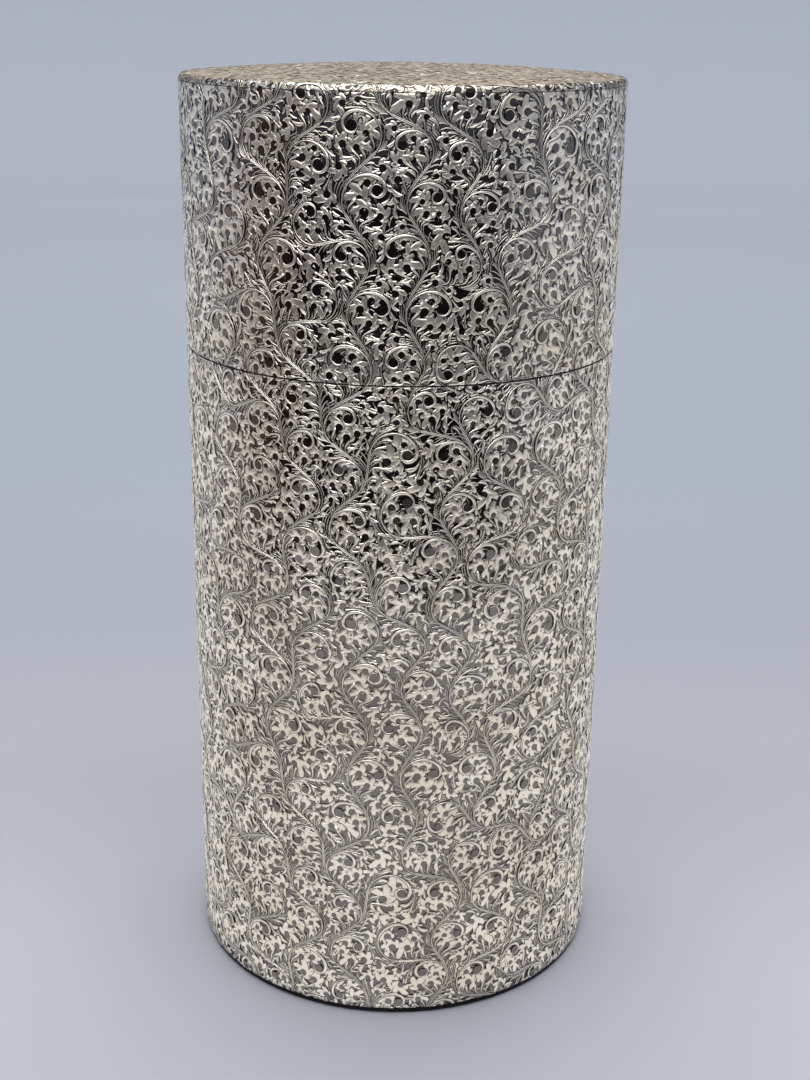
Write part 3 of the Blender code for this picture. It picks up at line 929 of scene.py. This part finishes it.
def add_crown_relief(name, mesh, finish, body):
    """The engraving of the crown, trimmed to its round edge: corners beyond are drawn back to it."""
    reach = TILE[1] / 2
    flat, faces = copies(mesh, -reach, reach, (-1, 0), (-1, 0))
    limit = CROWN_RADIUS + CROWN_OVER
    used, faces = kept(flat, faces, np.linalg.norm(flat[:, :2], axis=1) < limit)
    flat = flat[used]
    distance = np.linalg.norm(flat[:, :2], axis=1)
    flat[:, :2] *= np.minimum(1, limit / np.maximum(distance, 1e-6))[:, None]
    uv = (flat[:, :2] / limit + 1) / 2
    add_piece(name, onto_crown(flat), faces, finish, body, uv=uv, side=flat[:, 3])


# Finishes

def new_group(name, inputs, outputs):
    """An empty shader node group with named sockets. Inputs are (name, kind, value)."""
    tree = bpy.data.node_groups.new(name, "ShaderNodeTree")
    for label, kind, value in inputs:
        socket = tree.interface.new_socket(label, in_out="INPUT", socket_type=kind)
        socket.default_value = value
    for label, kind in outputs:
        tree.interface.new_socket(label, in_out="OUTPUT", socket_type=kind)
    return tree, tree.nodes.new("NodeGroupInput"), tree.nodes.new("NodeGroupOutput")


def add_node(tree, kind, inputs, output=0, operation=None):
    """A shader node whose inputs are set to values or linked to sockets. Gives one of its outputs."""
    node = tree.nodes.new("ShaderNode" + kind)
    if operation:
        node.operation = operation
    fill_inputs(tree, node, inputs)
    return node.outputs[output]


def fill_inputs(tree, node, inputs):
    """Sets or links a node's inputs, from a table of their names and values or sockets."""
    for label, value in inputs.items():
        if isinstance(value, bpy.types.NodeSocket):
            tree.links.new(value, node.inputs[label])
        else:
            node.inputs[label].default_value = value


def add_group(tree, group, inputs):
    """A group's node, its sockets set from their names. Gives its outputs."""
    node = tree.nodes.new("ShaderNodeGroup")
    node.node_tree = group
    fill_inputs(tree, node, inputs)
    return node.outputs


def add_noise(tree, source, scale, detail=4.0, stretch=None):
    """Noise at a socket of coordinates, which may be stretched. Its scale is a number or a socket."""
    if stretch:
        source = add_node(tree, "Mapping", {"Scale": stretch, "Vector": source})
    return add_node(tree, "TexNoise", {"Detail": detail, "Vector": source, "Scale": scale}, "Fac")


def add_coordinates(tree, kind):
    """Object or UV coordinates as a socket."""
    return add_node(tree, "TexCoord", {}, kind)


def add_ramp(tree, value, low, high):
    """0 at low and 1 at high, with a smooth step between."""
    node = tree.nodes.new("ShaderNodeMapRange")
    node.interpolation_type = "SMOOTHSTEP"
    fill_inputs(tree, node, {"From Min": low, "From Max": high, "Value": value})
    return node.outputs["Result"]


def add_maths(tree, operation, first, second):
    """One Math node on two sockets or numbers."""
    return add_node(tree, "Math", {0: first, 1: second}, operation=operation)


def add_mix(tree, share, first, second):
    """A colour mix of two colour sockets."""
    node = tree.nodes.new("ShaderNodeMix")
    node.data_type = "RGBA"
    fill_inputs(tree, node, {"Factor": share, "A": first, "B": second})
    return node.outputs["Result"]


def tarnish_group():
    """Cloudy tarnish: patches of a duller colour, fine specks of a third, and both rougher than the rest."""
    tree, given, result = new_group("tarnish", [
        ("Bright", "NodeSocketColor", (0.9, 0.9, 0.9, 1)),
        ("Dull", "NodeSocketColor", (0.5, 0.5, 0.5, 1)),
        ("Warm", "NodeSocketColor", (0.6, 0.5, 0.4, 1)),
        ("Scale", "NodeSocketFloat", 60.0),
        ("Dullness", "NodeSocketFloat", 0.5),
        ("Smooth", "NodeSocketFloat", 0.2),
        ("Rough", "NodeSocketFloat", 0.4),
    ], [("Colour", "NodeSocketColor"), ("Roughness", "NodeSocketFloat")])
    place = add_coordinates(tree, "Object")
    clouds = add_ramp(tree, add_noise(tree, place, given.outputs["Scale"]), 0.38, 0.66)
    share = add_maths(tree, "MULTIPLY", clouds, given.outputs["Dullness"])
    fine = add_maths(tree, "MULTIPLY", given.outputs["Scale"], 14.0)
    specks = add_ramp(tree, add_noise(tree, place, fine, 2.0), 0.52, 0.72)
    speck_share = add_maths(tree, "MULTIPLY", specks, 0.35)
    colour = add_mix(tree, share, given.outputs["Bright"], given.outputs["Dull"])
    colour = add_mix(tree, speck_share, colour, given.outputs["Warm"])
    tree.links.new(colour, result.inputs["Colour"])
    spread = add_maths(tree, "SUBTRACT", given.outputs["Rough"], given.outputs["Smooth"])
    both = add_maths(tree, "MULTIPLY", add_maths(tree, "ADD", clouds, specks), 0.5)
    rough = add_maths(tree, "ADD", add_maths(tree, "MULTIPLY", both, spread), given.outputs["Smooth"])
    tree.links.new(rough, result.inputs["Roughness"])
    return tree


def handling_group():
    """Heights for a Bump node: fine scratches that run round or along, soft dents of use and a fine grain.

    Rounding adds the section of a stroke, whose side s runs from 0 to 1: it stands 4 s (1 - s) high.
    """
    tree, given, result = new_group("handling", [
        ("Scratches", "NodeSocketFloat", 0.5),
        ("Dents", "NodeSocketFloat", 0.5),
        ("Grain", "NodeSocketFloat", 0.0),
        ("Rounding", "NodeSocketFloat", 0.0),
    ], [("Height", "NodeSocketFloat")])
    place = add_coordinates(tree, "Object")
    around = add_noise(tree, place, 900.0, 3.0, (1.0, 1.0, 9.0))
    along = add_noise(tree, place, 1400.0, 3.0, (3.0, 3.0, 0.6))
    lines = add_maths(tree, "MULTIPLY", add_maths(tree, "ADD", around, along), given.outputs["Scratches"])
    soft = add_maths(tree, "MULTIPLY", add_noise(tree, place, 90.0, 1.0), given.outputs["Dents"])
    grain = add_maths(tree, "MULTIPLY", add_noise(tree, place, 1900.0, 2.0), given.outputs["Grain"])
    attribute = tree.nodes.new("ShaderNodeAttribute")
    attribute.attribute_name = "side"
    across = attribute.outputs["Fac"]
    rest = add_maths(tree, "SUBTRACT", 1.0, across)
    bow = add_maths(tree, "MULTIPLY", add_maths(tree, "MULTIPLY", across, rest), 4.0)
    section = add_maths(tree, "MULTIPLY", bow, given.outputs["Rounding"])
    worn, shaped = add_maths(tree, "ADD", lines, soft), add_maths(tree, "ADD", grain, section)
    tree.links.new(add_maths(tree, "ADD", worn, shaped), result.inputs["Height"])
    return tree


TARNISH, HANDLING = tarnish_group(), handling_group()

# The height in metres that a full bump stands for
BUMP_HEIGHT = 0.0001


def new_material(name):
    """A new material, with its tree and its Principled shader."""
    made = bpy.data.materials.new(name)
    made.use_nodes = True
    return made, made.node_tree, made.node_tree.nodes["Principled BSDF"]


def metal(name, bright, dull, warm, scale, dullness, smooth, rough,
          scratches=0.4, dents=0.6, bump=0.15, grain=0.0, rounding=0.0):
    """A Principled metal fed by the tarnish and handling groups."""
    made, tree, shader = new_material(name)
    look = add_group(tree, TARNISH, {
        "Bright": (*bright, 1.0), "Dull": (*dull, 1.0), "Warm": (*warm, 1.0),
        "Scale": scale, "Dullness": dullness, "Smooth": smooth, "Rough": rough,
    })
    wear = add_group(tree, HANDLING, {
        "Scratches": scratches, "Dents": dents, "Grain": grain, "Rounding": rounding,
    })
    relief = add_node(tree, "Bump", {"Strength": bump, "Distance": BUMP_HEIGHT, "Height": wear["Height"]})
    fill_inputs(tree, shader, {
        "Metallic": 1.0, "Base Color": look["Colour"], "Roughness": look["Roughness"], "Normal": relief,
    })
    return made


raised_silver = metal(
    "raised_silver", (0.885, 0.852, 0.78), (0.70, 0.655, 0.57), (0.72, 0.60, 0.46), scale=70.0,
    dullness=0.55, smooth=0.30, rough=0.42, scratches=0.05, dents=0.1, bump=1.0, grain=0.25, rounding=0.75)
sunk_silver = metal(
    "sunk_silver", (0.200, 0.189, 0.187), (0.13, 0.116, 0.112), (0.17, 0.120, 0.095), scale=70.0,
    dullness=0.6, smooth=0.09, rough=0.20)
# A darker copy of the raised silver for the crown and the shoulder: painted shade that tones down the bright
# reflections on them
shaded_crown_silver = metal(
    "shaded_crown_silver", (0.66, 0.635, 0.59), (0.54, 0.51, 0.455), (0.80, 0.58, 0.30), scale=70.0,
    dullness=0.6, smooth=0.30, rough=0.44, scratches=0.05, dents=0.1, bump=1.0, grain=0.10, rounding=0.2)
# A lighter, warmer copy of the sunk silver for the crown's ground and hollows: painted light that makes its
# engraving show less
lightened_sunk_crown_silver = metal(
    "lightened_sunk_crown_silver", (0.48, 0.43, 0.365), (0.385, 0.335, 0.275), (0.56, 0.385, 0.21), scale=70.0,
    dullness=0.6, smooth=0.30, rough=0.45)
# A much darker copy of the sunk silver for the shoulder's hollows: painted shade that breaks up the bright
# highlight along the shoulder
shaded_sunk_shoulder_silver = metal(
    "shaded_sunk_shoulder_silver", (0.075, 0.058, 0.046), (0.05, 0.038, 0.03), (0.11, 0.07, 0.04), scale=70.0,
    dullness=0.6, smooth=0.15, rough=0.30)
tinned_steel = metal(
    "tinned_steel", (0.66, 0.655, 0.63), (0.50, 0.49, 0.46), (0.48, 0.43, 0.36), scale=45.0,
    dullness=0.6, smooth=0.22, rough=0.42, scratches=0.8, dents=0.5, bump=0.25)
# Near-black steel, for the foot ring, the base plate and the collar
blackened_steel = metal(
    "blackened_steel", (0.035, 0.034, 0.035), (0.02, 0.018, 0.018), (0.06, 0.05, 0.045), scale=120.0,
    dullness=0.6, smooth=0.32, rough=0.55, scratches=0.8, dents=0.5, bump=0.3)
polished_knob = metal(
    "polished_knob", (0.80, 0.775, 0.71), (0.62, 0.59, 0.52), (0.55, 0.47, 0.37), scale=110.0,
    dullness=0.5, smooth=0.12, rough=0.28, scratches=0.5, dents=0.3, bump=0.12)
solder_grey = metal(
    "solder_grey", (0.34, 0.34, 0.35), (0.24, 0.235, 0.235), (0.28, 0.25, 0.22), scale=160.0,
    dullness=0.6, smooth=0.4, rough=0.6, scratches=0.6, dents=1.0, bump=0.5)


# The skins: plain sunk walls, with the engraving standing on them

def wall_section(low, high):
    """A tube's wall with its outer edges rounded."""
    return [
        [SKIN_INSIDE, low],
        *arc(GROUND - EDGE_ROUND, low + EDGE_ROUND, EDGE_ROUND, -90, 0, 3),
        *arc(GROUND - EDGE_ROUND, high - EDGE_ROUND, EDGE_ROUND, 0, 90, 3),
        [SKIN_INSIDE, high],
    ]


def top_section():
    """The cap's pressed top: a crown, a round shoulder, a rim and the flange inside the skin.

    The crown falls from the middle as the square of the way out, and so does its underside.
    """
    share = np.linspace(0, 1, 13)[:-1]
    crown = np.stack([CROWN_RADIUS * share, CROWN_BASE - RELIEF + CROWN_RISE * (1 - share ** 2)], -1)
    under_r, under_z = FLANGE_RADIUS - 2 * TOP_SHEET, CROWN_BASE - TOP_SHEET
    under = np.stack([under_r * share, under_z + CROWN_RISE * (1 - share ** 2) - UNDER_DROP], -1)
    return [
        *crown.tolist(),
        *arc(CROWN_RADIUS, SHOULDER_BASE, SHOULDER - RELIEF, 90, 0, 10),
        [GROUND, TOP_LOW],
        [FLANGE_RADIUS, TOP_LOW],
        [FLANGE_RADIUS, FLANGE_LOW],
        [FLANGE_RADIUS - TOP_SHEET, FLANGE_LOW],
        [FLANGE_RADIUS - TOP_SHEET, SHOULDER_BASE],
        [under_r, under_z],
        *under[::-1].tolist(),
    ]


spun("body_ground", wall_section(BODY_LOW, BODY_HIGH), sunk_silver, "can", "body_skin",
     gap=JOINT_GAP)
spun("cap_ground", wall_section(CAP_LOW, CAP_HIGH), sunk_silver, "cap", "cap_skin",
     gap=JOINT_GAP)
spun("top_ground", top_section(), lightened_sunk_crown_silver, "cap", "cap_top")

tile = raised_and_sunk(engrave_tile())
# The shoulder and the crown take the copies of the silvers that hold painted light and shade
for kind, skin, shoulder, crown in (
    ("raised", raised_silver, shaded_crown_silver, shaded_crown_silver),
    ("sunk", sunk_silver, shaded_sunk_shoulder_silver, lightened_sunk_crown_silver),
):
    for quarter in range(QUARTERS):
        column = quarter - QUARTERS // 2
        for band, (low, high) in enumerate(((BODY_LOW, BODY_MIDDLE), (BODY_MIDDLE, BODY_HIGH))):
            add_relief(f"body_{kind}_{quarter}_{band}", tile[kind], skin, "can",
                       low + TRIM, high - TRIM * band, (column,), (-1, 0, 1), onto_wall)
        add_relief(f"cap_{kind}_{quarter}", tile[kind], skin, "cap",
                   CAP_LOW + TRIM, CAP_HIGH - TRIM, (column,), (1, 2), onto_wall)
    add_relief(f"shoulder_{kind}", tile[kind], shoulder, "cap",
               TOP_LOW + TOP_TRIM, SHOULDER_BASE + SHOULDER * np.pi / 2, (-2, -1, 0, 1), (1, 2),
               onto_shoulder)
    add_crown_relief(f"crown_{kind}", tile[kind], crown, "cap")

for name, finish in (
    ("foot_ring", blackened_steel), ("base_plate", blackened_steel), ("body_seam_strap", solder_grey),
    ("liner_wall", tinned_steel), ("liner_floor", tinned_steel), ("body_collar", blackened_steel),
    ("cap_seam_strap", solder_grey), ("cap_sleeve", tinned_steel), ("cap_ceiling", tinned_steel),
    ("inner_lid_plate", tinned_steel), ("inner_lid_knob", polished_knob), ("knob_washer", tinned_steel),
):
    for index in range(len(nodes[name].data.materials)):
        nodes[name].data.materials[index] = finish


# Studio, in metres

# The floor's colour from in front of the canister to behind it, by Y, and of the wall all round. It is
# painted light and shade: its darker and lighter bands stand in for how the light falls, and the wall is
# painted lighter to make up for the less light on it
FLOOR_START, FLOOR_END = -0.6, 1.7
FLOOR_PAINTED_LIGHT = (
    (-0.45, (0.50, 0.50, 0.54)),
    (-0.04, (0.49, 0.495, 0.54)),
    (0.06, (0.375, 0.38, 0.42)),
    (0.17, (0.34, 0.355, 0.40)),
    (0.32, (0.345, 0.37, 0.42)),
    (0.90, (0.47, 0.50, 0.56)),
    (1.60, (0.655, 0.685, 0.74)),
)
WALL_PAINTED_LIGHT = (0.655, 0.685, 0.74)


def add_stage(name, points, faces, finish, only_metal=True):
    """A studio object from lists of points and faces. With only_metal, just reflections show it."""
    mesh = bpy.data.meshes.new(name)
    mesh.from_pydata(points, [], faces)
    mesh.materials.append(finish)
    piece = bpy.data.objects.new(name, mesh)
    scene.collection.objects.link(piece)
    if only_metal:
        piece.visible_camera = piece.visible_diffuse = piece.visible_shadow = False
    piece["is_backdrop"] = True
    return mesh


def glowing_material(name):
    """A new material that only glows, with its tree and its Emission shader."""
    made, tree, shader = new_material(name)
    tree.nodes.remove(shader)
    glow = tree.nodes.new("ShaderNodeEmission")
    tree.links.new(glow.outputs[0], surface_of(tree))
    return made, tree, glow


def surface_of(tree):
    """The socket that a material's shader goes to."""
    return tree.nodes["Material Output"].inputs["Surface"]


def add_colour(tree, colour):
    """A colour as a socket."""
    node = tree.nodes.new("ShaderNodeRGB")
    node.outputs[0].default_value = (*colour, 1)
    return node.outputs[0]


def add_distance(tree, place):
    """The distance from the canister's foot."""
    return add_node(tree, "VectorMath", {0: place}, "Value", operation="LENGTH")


def add_studio_floor():
    """A round pale floor that rises all round to a wall; its colour, painted light and shade, follows Y and
    turns even at the wall.
    """
    made, tree, shader = new_material("studio_floor")
    place = add_coordinates(tree, "Object")
    along = add_node(tree, "SeparateXYZ", {"Vector": place}, "Y")
    share = add_node(tree, "MapRange", {"From Min": FLOOR_START, "From Max": FLOOR_END, "Value": along})
    shades = tree.nodes.new("ShaderNodeValToRGB")
    tree.links.new(share, shades.inputs["Fac"])
    ramp = shades.color_ramp
    ramp.interpolation = "EASE"
    ramp.elements[0].position, ramp.elements[1].position = 0.0, 1.0
    for _ in range(len(FLOOR_PAINTED_LIGHT) - 2):
        ramp.elements.new(0.5)
    for element, (y, colour) in zip(ramp.elements, FLOOR_PAINTED_LIGHT):
        element.position = (y - FLOOR_START) / (FLOOR_END - FLOOR_START)
        element.color = (*colour, 1)
    far = add_ramp(tree, add_distance(tree, place), 0.75, 1.55)
    colour = add_mix(tree, far, shades.outputs["Color"], add_colour(tree, WALL_PAINTED_LIGHT))
    fill_inputs(tree, shader, {"Base Color": colour, "Roughness": 0.8, "Specular IOR Level": 0.1})
    inner, bend, wall, steps = 1.2, 0.45, 1.1, 96
    turn = np.radians(np.linspace(0, 90, 13))
    rising = inner + bend * np.sin(turn[1:])
    radius = np.concatenate([[0.05], np.linspace(0.2, inner, 6), rising, [inner + bend]])
    height = np.concatenate([np.zeros(7), bend * (1 - np.cos(turn[1:])), [wall]])
    points = rings(radius, height, steps)
    index = closed(np.arange(len(points)).reshape(len(radius), steps))
    faces = quads_of(index).reshape(-1, 4).tolist() + [index[0, :-1].tolist()]
    add_stage("studio_floor", points.tolist(), faces, made, only_metal=False).shade_smooth()


def rings(radii, heights, steps):
    """Points of rings round the Z axis, one ring for each radius and height."""
    ring = unit(np.arange(steps) * FULL / steps)
    return np.concatenate([np.c_[ring * r, np.full(steps, z)] for r, z in zip(radii, heights)])


def add_dark_card():
    """A dark curved card in front, which only the metal sees.

    It is brown at its left, and it fades out at its sides and its top.
    """
    made, tree, glow = glowing_material("studio_card")
    radius, low, high, first, last, steps = 0.30, 0.0, 0.27, -106.0, 84.0, 48
    angle = np.radians(np.linspace(first, last, steps + 1))
    ring = np.stack([radius * np.sin(angle), -radius * np.cos(angle)], -1)
    points = np.concatenate([np.c_[ring, np.full(steps + 1, z)] for z in (low, high)])
    index = np.arange(len(points)).reshape(2, steps + 1).T
    mesh = add_stage("studio_card", points.tolist(), quads_of(index).reshape(-1, 4).tolist(), made)
    layer = mesh.uv_layers.new(name="UVMap")
    at = np.linspace(0, 1, steps + 1)
    across, up = np.stack([at[:-1], at[1:], at[1:], at[:-1]], -1), np.tile([0.0, 0, 1, 1], (steps, 1))
    layer.data.foreach_set("uv", np.stack([across, up], -1).astype(np.float32).ravel())
    parts = tree.nodes.new("ShaderNodeSeparateXYZ")
    tree.links.new(add_coordinates(tree, "UV"), parts.inputs["Vector"])
    x, y = parts.outputs["X"], parts.outputs["Y"]
    sides = add_maths(tree, "MULTIPLY", add_ramp(tree, x, 0.0, 0.24), add_ramp(tree, x, 1.0, 0.76))
    share = add_maths(tree, "MULTIPLY", sides, add_ramp(tree, y, 1.0, 0.45))
    brown, black = add_colour(tree, (0.16, 0.075, 0.05)), add_colour(tree, (0.022, 0.017, 0.017))
    colour = add_mix(tree, add_ramp(tree, x, 0.10, 0.36), brown, black)
    tree.links.new(colour, glow.inputs["Color"])
    clear = add_node(tree, "BsdfTransparent", {})
    mix = add_node(tree, "MixShader", {"Fac": share, 1: clear, 2: glow.outputs[0]})
    tree.links.new(mix, surface_of(tree))


def add_glow_sheet():
    """A pale glowing ring on the floor, which only the metal sees: brightest near the canister."""
    made, tree, glow = glowing_material("studio_sheet")
    fall = add_ramp(tree, add_distance(tree, add_coordinates(tree, "Object")), 0.25, 0.85)
    strength = add_maths(tree, "SUBTRACT", 0.87, add_maths(tree, "MULTIPLY", fall, 0.05))
    fill_inputs(tree, glow, {"Color": (1.0, 0.98, 0.955, 1), "Strength": strength})
    inner, outer, lift, steps = 0.0395, 1.2, 0.0004, 64
    points = rings((inner, outer), (lift, lift), steps)
    index = closed(np.arange(len(points)).reshape(2, steps))
    add_stage("studio_sheet", points.tolist(), quads_of(index).reshape(-1, 4).tolist(), made)


def add_glow_card(name, left, right, low, high, colour, strength):
    """A glowing card that only the metal sees. Low and high are (y, z) of its edges, in metres."""
    made, tree, glow = glowing_material(name)
    fill_inputs(tree, glow, {"Color": (*colour, 1), "Strength": strength})
    add_stage(name, [(left, *low), (right, *low), (right, *high), (left, *high)], [(0, 1, 2, 3)], made)


def add_area(name, place, target, size, power):
    """A square area light aimed at a point, in metres and watts."""
    data = bpy.data.lights.new(name, "AREA")
    data.size, data.energy = size, power
    light = bpy.data.objects.new(name, data)
    light.location = place
    way = (np.array(target) - np.array(place)).tolist()
    light.rotation_euler = Vector(way).to_track_quat("-Z", "Y").to_euler()
    scene.collection.objects.link(light)


def add_world(colour, strength):
    """An even pale surround."""
    world = bpy.data.worlds.new("studio_world")
    world.use_nodes = True
    back = world.node_tree.nodes["Background"]
    back.inputs["Color"].default_value = (*colour, 1)
    back.inputs["Strength"].default_value = strength
    scene.world = world


add_studio_floor()
add_dark_card()
add_glow_sheet()
add_glow_card("studio_warm_card", left=-0.7, right=0.7, low=(1.0, 0.32), high=(1.0, 0.95),
              colour=(1.0, 0.80, 0.58), strength=0.42)
add_glow_card("studio_front_card", left=-0.55, right=0.25, low=(-0.70, 0.45), high=(-0.35, 0.85),
              colour=(1.0, 0.98, 0.96), strength=3.8)
add_world(colour=(0.82, 0.84, 0.89), strength=0.80)
add_area("overhead_light", place=(0.0, 0.15, 0.95), target=(0, 0, 0.08), size=0.8, power=8.0)
scene.view_settings.view_transform = "Standard"


# Camera: the photograph's angle, worked out from the canister's outline in it

def add_camera(place, pitch, roll, lens):
    """A camera that looks along +Y, tipped down by pitch and turned on its own axis by roll, in degrees."""
    data = bpy.data.cameras.new("camera")
    data.lens, data.sensor_width, data.clip_start = lens, 36.0, 0.01
    camera = bpy.data.objects.new("camera", data)
    tip = Matrix.Rotation(math.radians(90 - pitch), 4, "X") @ Matrix.Rotation(math.radians(roll), 4, "Z")
    camera.matrix_world = Matrix.Translation(place) @ tip
    scene.collection.objects.link(camera)
    scene.camera = camera


add_camera(place=(0.0013, -0.2759, 0.1734), pitch=19.16, roll=0.71, lens=51.9)

low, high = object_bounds()
